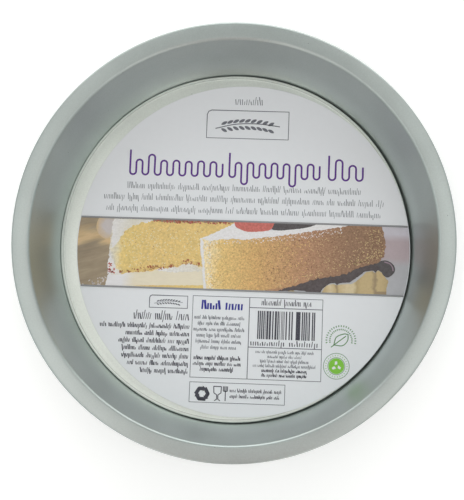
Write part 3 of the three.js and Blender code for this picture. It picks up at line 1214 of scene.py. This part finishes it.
class CAKETIN_OT_marks(bpy.types.Operator):
    """Prints the bars, the wheat sprigs and the plain pictograms"""

    bl_idname = "cake_tin.marks"
    bl_label = "Marks"

    def execute(self, context):
        inks = context.scene.cake_tin_print
        dark = solid_ink("bar_ink", inks.dark_ink)
        grey = solid_ink("sprig_ink", inks.frame_ink)
        green = solid_ink("green_ink", inks.green_ink)
        sage = solid_ink("sage_ink", inks.sage_ink)
        board = solid_ink("bare_board", context.scene.cake_tin_card.colour)
        self.bars(inks, dark)
        self.sprigs(grey)
        self.loop(dark)
        self.cup_and_fork(dark)
        self.leaf_badge(sage)
        self.roundel(green, sage, board)
        return {"FINISHED"}

    def bars(self, inks, dark):
        """A generic block of bars in a random rhythm."""
        count = 93
        level = layer_height(1) + INK / 2
        module = inks.bar_module
        row = [(9.2 * MM + i * module, -39.4 * MM, level) for i in range(count)]
        piece = new_piece("bars", row)
        values = {
            "Module": module * 0.99, "Height": 14.6 * MM, "Depth": INK, "Share": 0.57, "Seed": 5,
            "Material": dark
        }
        grow(piece, shared_tree(bar_field_tree, "Bar Field"), values)
        lay_down(piece)

    def sprigs(self, ink):
        """A wheat ear on its side in each badge: a bent stalk with pairs of grains."""
        for name, x, y, size in (("large_sprig", 1.2, 65.9, 1.0), ("small_sprig", -36.5, -29.0, 0.44)):
            stalk = rounded_line(
                [(x + size * a, y + size * b) for a, b in ((-17, -2.4), (-6, 0.2), (6, 0.6), (17, -0.6))]
            )
            stroke_piece(f"{name}_stalk", [stalk], 0.5 * size, ink)
            grains, pairs, pitch = [], 9, 3.1
            for i in range(pairs):
                along = (i - pairs // 2) * pitch
                lift = 0.25 - 0.01 * along * along
                for side in (-1, 1):
                    grains.append(self.grain(x + size * along, y + size * (lift + side * 1.9), size, side))
            flat_solid(f"{name}_grains", grains, 1, ink)

    def grain(self, x, y, size, side):
        """A seed shape, pointed at both ends and leaning along the stalk."""
        shape = []
        lean = side * math.radians(28)
        count, length, width, taper = 14, 1.8, 0.8, 0.4
        for i in range(count):
            turn = math.tau * i / count
            a = length * size * math.cos(turn)
            b = width * size * math.sin(turn) * abs(math.sin(turn)) ** taper
            shape.append(
                (x + a * math.cos(lean) - b * math.sin(lean), y + a * math.sin(lean) + b * math.cos(lean))
            )
        return shape

    def loop(self, ink):
        """Three bent arrows that follow each other round a triangle."""
        centre = Vector((-17.2, -75.6))
        bars, heads = [], []
        for i in range(3):
            turn = Matrix.Rotation(-math.tau * i / 3, 2)
            bars.append([tuple(centre + turn @ Vector(p)) for p in ((-3.3, -0.3), (-1.5, 2.6), (0.5, 2.6))])
            heads.append([tuple(centre + turn @ Vector(p)) for p in ((0.3, 1.1), (2.1, 2.6), (0.3, 4.1))])
        stroke_piece("loop_bars", bars, 1.9, ink, rounding=0.3, steps=3)
        flat_solid("loop_heads", heads, 2, ink)

    def cup_and_fork(self, ink):
        """A goblet and a fork in outline."""
        cup = [(-11.3, -71.7), (-11.1, -75.0), (-9.6, -76.0), (-9.6, -78.2), (-10.8, -79.0)]
        side = [(-7.3, -71.7), (-7.5, -75.0), (-9.0, -76.0), (-9.0, -78.2), (-7.8, -79.0)]
        paths = [cup, side, [(-11.3, -71.7), (-7.3, -71.7)]]
        paths += [[(-6.3 + 0.7 * i, -71.5), (-6.3 + 0.7 * i, -74.0)] for i in range(4)]
        paths += [[(-6.3, -74.0), (-4.2, -74.0)], [(-5.2, -74.0), (-5.2, -79.0)]]
        stroke_piece("cup_and_fork", paths, 0.46, ink, rounding=0.5, steps=3)

    def leaf_badge(self, ink):
        """An arch of short ticks over a leaf."""
        x, y = 53.2, -46.0
        arch = []
        for i in range(21):
            turn = math.radians(190 - 10 * i)
            for near, far in ((5.3, 6.1), (7.0, 7.9)):
                arch.append([around(x, y, near, turn), around(x, y, far, turn)])
        leaf = rounded_line(
            [(x - 3.6, y - 2.4), (x - 2.4, y + 1.6), (x + 1.4, y + 3.4), (x + 3.6, y + 3.2)]
        )
        leaf += rounded_line([(x + 3.6, y + 3.2), (x + 3.4, y), (x + 0.8, y - 2.6), (x - 3.6, y - 2.4)])
        vein = rounded_line([(x - 5.0, y - 3.6), (x - 1.5, y - 0.8), (x + 2.6, y + 2.4)])
        stroke_piece("leaf_badge", arch + [leaf, vein], 0.5, ink)

    def roundel(self, green, sage, board):
        """A green disc in a thin ring of ticks, with a pale pinwheel on it."""
        x, y = 51.2, -59.2
        ring = circle_outline(x, y, 6.6)
        inner = circle_outline(x, y, 4.35)
        stroke_piece("roundel_ring", [ring + ring[:1], inner + inner[:1]], 0.28, sage)
        ticks, count = [], 26
        for i in range(count):
            turn = math.tau * i / count
            ticks.append([around(x, y, radius, turn) for radius in (5.1, 5.8)])
        stroke_piece("roundel_ticks", ticks, 0.3, green)
        flat_solid("roundel_disc", [circle_outline(x, y, 4.0)], 1, green)
        blade = ((0.9, 0.7), (-0.9, 0.9), (-0.5, -0.5), (1.0, -0.4))
        blades = []
        for i in range(3):
            turn = math.radians(90 + 120 * i)
            at = Vector((x, y)) + 1.5 * Vector((math.cos(turn), math.sin(turn)))
            blades.append([tuple(at + Matrix.Rotation(turn, 2) @ Vector(p)) for p in blade])
        flat_solid("roundel_blades", blades, 2, board)


class CAKETIN_OT_picture(bpy.types.Operator):
    """Prints the picture band: a filled sponge slice and a block behind it, as fields of colour"""

    bl_idname = "cake_tin.picture"
    bl_label = "Picture"

    def execute(self, context):
        tones = context.scene.cake_tin_picture
        self.low, self.high = tones.low / MM, tones.high / MM
        card = context.scene.cake_tin_card
        self.radius = card.radius / MM - FIELD_MARGIN
        self.middle = (-card.print_x / MM, -card.print_y / MM)
        self.background(tones)
        self.block(tones)
        self.filling(tones)
        self.slice(tones)
        self.topping(tones)
        return {"FINISHED"}

    def field(self, name, outline, layer, material, shake=0.0, seed=1, step=0.9):
        edge = ragged(outline, step, shake, seed, self.low, self.high, self.radius, self.middle)
        return flat_solid(name, [edge], layer, material)

    def background(self, tones):
        """Blurred board on the left and blurred cloth on the right."""
        low, high = self.low, self.high
        wood = picture_print(
            "blurred_wood_print",
            (
                (0.0, tones.wood_dark), (0.3, tones.wood_mid), (0.45, tones.wood_dark),
                (0.57, tones.wood_mid), (0.66, tones.wood_light), (0.74, tones.wood_light),
                (0.86, tones.wood_mid), (1.0, tones.wood_mid)
            ),
            (low, high), axis="Y", warp=4.0, grain=0.1, grain_size=1.6, clump=0.2, stretch=6.0,
            lean=math.radians(16)
        )
        cloth = picture_print(
            "blurred_cloth_print",
            (
                (0.0, tones.slate), (0.42, tones.slate), (0.55, tones.rose), (0.78, tones.rose),
                (0.88, tones.lilac), (1.0, tones.lilac)
            ),
            (low, high), axis="Y", warp=0.8, grain=0.03, grain_size=3.0
        )
        haze = picture_print(
            "haze_print", ((0.0, tones.haze), (0.45, tones.haze), (1.0, tones.wood_light)), (0, 7.4),
            warp=0.8, grain=0.03, middle=(-69, 9.6)
        )
        dust = solid_ink("dust_ink", tones.haze)
        self.field("picture_wood", [(-90, low), (10, low), (10, high), (-90, high)], 0, wood, step=1.5)
        self.field("picture_cloth", [(10, low), (90, low), (90, high), (10, high)], 0, cloth, step=1.5)
        self.field("picture_haze", circle_outline(-69, 9.6, 7.2), 1, haze)
        floury = [(-82, low), (-81, -20), (-76, -18.5), (-70, -16.5), (-69, low)]
        flecks_piece("picture_dust", [floury], 0.45, 0.55, 1, dust, 31)

    def block(self, tones):
        """The block behind: sponge with an iced end, a crumbly seam, and cream below it."""
        low = self.low
        sponge = picture_print(
            "block_sponge_print",
            (
                (0.0, tones.sugar), (0.05, tones.icing), (0.11, tones.icing_gold), (0.17, tones.block_gold),
                (0.5, tones.block_deep), (1.0, tones.block_deep)
            ),
            (-70, -20), warp=2.0, grain=0.16, grain_size=1.25, clump=0.06
        )
        icing = picture_print(
            "icing_print", ((0.0, tones.sugar), (0.6, tones.icing), (1.0, tones.sugar)), (-70, -46),
            warp=2.0, grain=0.07, grain_size=1.2
        )
        cream = picture_print(
            "cream_print",
            ((0.0, tones.sugar), (0.16, tones.sugar), (0.3, tones.cream), (1.0, tones.cream)), (-70, -20),
            warp=2.0, grain=0.03, grain_size=1.6, stretch=3.0
        )
        foot = picture_print(
            "foot_sponge_print", ((0.0, tones.cream), (0.35, tones.block_deep), (1.0, tones.block_gold)),
            (-60, -20), grain=0.1
        )
        lumps = picture_print(
            "cream_lump_print", ((0.0, tones.sugar), (1.0, tones.icing)), (-45, -18), warp=4.0, grain=0.12
        )
        crumbs = solid_ink("crumb_ink", tones.crumb)
        jam = solid_ink("block_jam_ink", tones.burnt)
        red = solid_ink("block_red_ink", tones.red_fruit)
        pale = solid_ink("block_pale_ink", tones.icing_gold)
        body = [(-70, low), (-69, -16.2), (-66, -13.5), (-50, -10), (-30, -6), (-18, -6), (-15, low)]
        self.field("block_cream", body, 2, cream, 0.15, 4)
        seam = [
            (-67, -15.9), (-59.2, -15), (-50.5, -13.8), (-42, -12.6), (-38.4, -12.2), (-33, -10.8),
            (-28, -8.6), (-23, -9.7), (-18, -11)
        ]
        top = [(-67.6, 13.4), (-46, 13.0), (-30, 12.6), (-20, 13.0), (-2, 13.6)]
        left = [(-68.2, -13), (-68.6, -6), (-68.6, 2), (-67.8, 8)]
        self.field("block_sponge", left + top + [(0, -9)] + seam[::-1], 3, sponge, 0.45, 2, step=0.8)
        corner = [
            (-67.7, 9), (-67.2, 14.0), (-46.5, 14.0), (-46.5, 12.9), (-53.5, 11.6), (-57.8, 9.6), (-61, 7.2)
        ]
        self.field(
            "block_icing", corner + [(-63.4, 3.4), (-65.2, 0.0), (-67.6, -2.0)], 4, icing, 0.5, 3, step=0.8
        )
        flank = [
            (-69.2, -15.5), (-69.2, -9), (-68.2, -6), (-66.4, -8), (-64.8, -12.6), (-61, -14.4),
            (-63, -15.8)
        ]
        self.field("block_flank", flank, 4, icing, 0.3, 34)
        lump = [
            (-44, -13.0), (-40.6, -11.2), (-37.5, -11.8), (-34.6, -10.2), (-32.6, -11.6), (-29.4, -9.0),
            (-25.6, -8.6), (-22, -10.4), (-20, -12.6), (-28, -13.4), (-36, -13.6)
        ]
        self.field("block_cream_lumps", lump, 5, lumps, 0.35, 5)
        strip = [(-56, low), (-54.6, -21.0), (-41.5, -20.6), (-30, -20.2), (-17, -19.9), (-17, low)]
        self.field("block_foot", strip, 5, foot, 0.15, 6)
        whole = [(-62, 9), (-20, 11), (-20, -8), (-40, -10), (-63, -12)]
        flecks_piece("block_pale_flecks", [whole], 0.34, 0.32, 5, pale, 32)
        flecks_piece("block_dark_flecks", [whole], 0.05, 0.3, 5, crumbs, 33)
        rim = [(-46, 12.6), (-30, 12.2), (-6, 12.6), (-6, 13.8), (-46, 13.8)]
        flecks_piece("block_top_crumbs", [rim], 0.9, 0.5, 5, red, 7)
        flecks_piece("block_top_jam", [rim], 0.9, 0.45, 6, jam, 35)
        edge = [
            (-64, -15.2), (-53, -14.0), (-40, -12.2), (-27, -8.8), (-20, -10.2), (-20, -8.4), (-27, -6.8),
            (-40, -9.6), (-54, -12.0), (-63, -13.6)
        ]
        flecks_piece("block_crumbs", [edge], 0.75, 0.44, 6, crumbs, 8)
        flecks_piece("block_seam_jam", [edge], 0.22, 0.62, 7, jam, 9)
        flecks_piece(
            "block_flank_jam", [[(-69, -15), (-65, -15), (-66, -11.5), (-68.4, -8.5)]], 1.8, 0.45, 5, red,
            36
        )

    def filling(self, tones):
        """Piped cream, jam and the edge of the plate, under the slice."""
        low = self.low
        ripples = (
            (42, 0), (44.5, 1), (47, 2), (49.4, 1), (50.4, -1), (51.6, 1), (55, 2), (58.5, 2), (60.6, 0),
            (63, 1), (66, 1), (68.4, 1), (69.8, -1), (71, 1), (73.6, 1), (77, 0)
        )
        shades = {-1: tones.swirl_shade, 0: tones.crumb_shade, 1: tones.swirl, 2: tones.swirl_lit}
        swirl = picture_print(
            "piped_cream_print", tuple(((x - 42) / 35, shades[shade]) for x, shade in ripples), (42, 77),
            warp=0.9, grain=0.05, grain_size=1.2
        )
        jam = picture_print(
            "jam_print", ((0.0, tones.jam), (1.0, tones.jam)), (14, 76), grain=0.22, grain_size=1.4
        )
        fringe = picture_print(
            "jam_fringe_print", ((0.0, tones.sponge_brown), (1.0, tones.sponge_shade)), (14, 60),
            grain=0.25, grain_size=1.0
        )
        dark = picture_print(
            "dark_fruit_print", ((0.0, tones.dark_fruit), (1.0, tones.dark_fruit)), (15, 80), grain=0.2,
            grain_size=1.6
        )
        plate = solid_ink("plate_ink", tones.swirl_shade)
        shine = solid_ink("shine_ink", tones.shine)
        lobes = [
            (24, low), (25.4, -21.2), (28, -21.0), (29.6, low), (42.6, low), (43.6, -19.6), (45.2, -17.8),
            (48.4, -17.0), (50.6, -17.6), (52.4, -17.0), (57.9, -16.6), (60, -15.4), (62, -13.6),
            (65.5, -10.2), (68.6, -9.6), (70, -10.6), (71.6, -9.2), (73.6, -10.4), (75.4, -13), (77, -14.6),
            (76, -18), (76, low)
        ]
        self.field("piped_cream", lobes, 2, swirl, 0.1, 11)
        self.field("plate_edge", [(69.6, low), (70.2, -20.2), (76, -20.0), (76, low)], 3, plate, 0.1, 12)
        seam = [
            (18, low), (22, -21.6), (29.5, -20.8), (33, -21.0), (37, low), (41.6, low), (43.6, -19.0),
            (46.4, -16.8), (49.3, -16.4), (50.5, -17.4), (52, -16.4), (57, -15.8), (61.2, -12.8),
            (64.6, -9.9), (69.2, -9.4), (70, -10.4), (71.2, -9.0), (74, -10.4), (75, -4.6), (71.4, -4.6),
            (60, -7), (48, -10.5), (36, -13)
        ]
        self.field("slice_jam", seam + [(30, -16), (20, -20)], 4, jam, 0.15, 14)
        frill = [
            (13, low), (20, -21.4), (28, -18.4), (34, -16.4), (39, -14.6), (46, -13.4), (55, -11.4),
            (60, -9)
        ]
        self.field(
            "slice_jam_frill", frill + [(50, -10), (38, -12), (28, -16), (14, -20)], 5, fringe, 0.45, 37
        )
        blob = [
            (70.4, -5.6), (73, -4.1), (75.9, -3.9), (79, -5.6), (80.2, -8.2), (79.4, -10.6), (76.7, -12.6)
        ]
        blob = rounded_line(blob + [(74.2, -11.6), (72.6, -8.6), (70.4, -5.6)])
        self.field("slice_dark_fruit", blob[:-1], 6, dark, 0.0, 15)
        arc = rounded_line([(74.6, -4.6), (77.2, -5.4), (78.8, -7.2), (79.2, -9.2)])
        stroke_piece("dark_fruit_shine", [arc], 0.6, shine, layer=7)

    def slice(self, tones):
        """The slice in front: sponge that goes from lit gold to baked brown, with sugar along its edges."""
        low, high = self.low, self.high
        sponge = picture_print(
            "sponge_print",
            (
                (0.0, tones.sponge_lit), (0.04, tones.sponge_lit), (0.12, tones.sponge_gold),
                (0.3, tones.sponge_honey), (0.56, tones.sponge_brown), (0.82, tones.sponge_shade),
                (1.0, tones.sponge_shade)
            ),
            (-22, 75), warp=3.5, grain=0.26, grain_size=1.0, clump=0.08
        )
        sugar = picture_print(
            "sugar_print", ((0.0, tones.sugar), (1.0, tones.sugar)), (-22, 75), grain=0.08
        )
        face = [
            (-17.8, low), (-18.7, -14.5), (-19.6, -7.5), (-20.6, -1.4), (-21.2, 4.9), (-11.4, 4.4),
            (3, 5.0), (11.4, 6.2), (21.8, 7.8), (37.4, 10.6), (44.3, 11.8), (51, 13), (56, high),
            (73.2, high), (74.2, 8.7), (75.1, 3.5), (74.4, -1.8), (71.4, -5.2), (63.7, -7.3), (55.2, -10.7),
            (44.9, -12.7), (38, -13.8), (34.6, -16.1), (27.8, -18.8), (14, -21.2), (12, low)
        ]
        self.field("slice_sponge", face, 8, sponge, 0.4, 13)
        crest = [
            (-21.4, 4.6), (-16.5, 6.6), (-9.6, 9.8), (-3.8, 13.4), (-1.6, 10.6), (3.5, 9.2), (11.3, 10),
            (17.4, 10.2), (25.2, 10.8), (33.9, 12.2), (39, high), (60, high), (51, 12.8), (44.3, 11.6),
            (37.4, 10.2), (30.4, 9), (21.8, 7.6), (11.4, 6), (3, 4.8), (-6, 4.8), (-11.4, 4.2), (-16.5, 3.6)
        ]
        self.field("slice_sugar", crest, 10, sugar, 0.35, 18)
        edge = [
            (-18.6, low), (-17.2, low), (-18.0, -14.5), (-18.9, -7.5), (-19.6, 0), (-19.8, 3.6),
            (-21.4, 4.8), (-21.0, -1.4), (-20.0, -7.5), (-19.4, -14.5)
        ]
        self.field("slice_edge_sugar", edge, 10, sugar, 0.25, 19)
        white = solid_ink("sugar_fleck_ink", tones.sugar)
        brown = solid_ink("bake_fleck_ink", tones.crumb)
        pale = solid_ink("pale_fleck_ink", tones.sponge_gold)
        tan = solid_ink("tan_fleck_ink", tones.tan)
        umber = solid_ink("umber_fleck_ink", tones.umber)
        upper = [
            (-20, 1), (-3, 2.6), (10, 3.2), (30, 5.6), (52, 9.0), (54, 13), (30, 9), (10, 6.4), (-11, 4.6),
            (-20, 4)
        ]
        near = [(-14, low), (14, low), (34, -14), (36, 6), (10, 3), (-17, 2)]
        foot = [(16, -20.6), (30, -17), (60, -7.2), (72, -4), (72, 1), (58, -4.4), (34, -12), (14, -19)]
        far = [(34, -14), (56, -8), (72, -3), (74, 12), (56, 12), (34, 8)]
        corner = [(58, -7), (71.4, -4), (74, 0), (74, 12), (66, 12), (64, 2)]
        border = [(-18, low), (-14, low), (-15.6, 4), (-20, 4)]
        # Name, outline, number to the square millimetre, size, ink and seed
        flecks = (
            ("sugar_flecks", upper, 0.7, 0.28, white, 20), ("edge_flecks", border, 0.8, 0.3, white, 21),
            ("near_pale_flecks", near, 0.35, 0.26, pale, 23),
            ("near_bake_flecks", near, 0.25, 0.28, brown, 22),
            ("foot_tan_flecks", foot, 0.45, 0.34, tan, 24), ("far_tan_flecks", far, 0.25, 0.26, tan, 25),
            ("far_umber_flecks", far + [(10, 2), (10, -18)], 0.2, 0.3, umber, 26),
            ("corner_tan_flecks", corner, 0.6, 0.32, tan, 27),
            ("corner_umber_flecks", corner, 0.5, 0.32, umber, 28)
        )
        for name, outline, density, size, ink, seed in flecks:
            flecks_piece(name, [outline], density, size, 9, ink, seed)

    def topping(self, tones):
        """Fruit on top of the slice."""
        high = self.high
        red = picture_print(
            "red_fruit_print", ((0.0, tones.red_fruit), (1.0, tones.red_fruit)), (-5, 18), grain=0.2,
            grain_size=1.2
        )
        dark = picture_print(
            "top_dark_fruit_print", ((0.0, tones.dark_fruit), (1.0, tones.dark_fruit)), (15, 41), grain=0.3,
            grain_size=1.4
        )
        near = rounded_line([(-4.2, high), (-2.6, 11), (2.6, 9), (8.7, 9.1), (14.8, 10.3), (17.4, high)])
        far = rounded_line([(14.6, high), (16, 10.6), (20, 10.1), (25.2, 10.6), (33.8, 12.0), (40, high)])
        self.field("top_dark_fruit", far, 11, dark, 0.1, 17)
        self.field("top_red_fruit", near, 12, red, 0.1, 16)


class CAKETIN_PT_pieces(bpy.types.Panel):
    """Lists the pieces of the cake tin"""

    bl_idname = "CAKETIN_PT_pieces"
    bl_label = "Cake Tin"
    bl_space_type = "VIEW_3D"
    bl_region_type = "UI"
    bl_category = "Cake Tin"

    def draw(self, context):
        for operator in OPERATORS:
            self.layout.operator(operator.bl_idname)
        for name, _ in SETTINGS:
            group = getattr(context.scene, name)
            column = self.layout.column(heading=group.bl_rna.name)
            for key in group.bl_rna.properties.keys():
                if key not in {"rna_type", "name"}:
                    column.prop(group, key)


# The order in which the pieces are made
OPERATORS = (
    CAKETIN_OT_stage, CAKETIN_OT_body, CAKETIN_OT_base, CAKETIN_OT_card, CAKETIN_OT_title,
    CAKETIN_OT_reading_lines, CAKETIN_OT_frames, CAKETIN_OT_marks, CAKETIN_OT_picture
)


def register():
    for name, group in SETTINGS:
        bpy.utils.register_class(group)
        setattr(bpy.types.Scene, name, PointerProperty(type=group))
    for cls in (*OPERATORS, CAKETIN_PT_pieces):
        bpy.utils.register_class(cls)


def unregister():
    for cls in (CAKETIN_PT_pieces, *reversed(OPERATORS)):
        bpy.utils.unregister_class(cls)
    for name, group in reversed(SETTINGS):
        delattr(bpy.types.Scene, name)
        bpy.utils.unregister_class(group)


def main():
    register()
    bpy.ops.cake_tin.stage()
    bpy.ops.cake_tin.body()
    bpy.ops.cake_tin.base()
    bpy.ops.cake_tin.card()
    bpy.ops.cake_tin.title()
    bpy.ops.cake_tin.reading_lines()
    bpy.ops.cake_tin.frames()
    bpy.ops.cake_tin.marks()
    bpy.ops.cake_tin.picture()


if __name__ == "__main__":
    main()
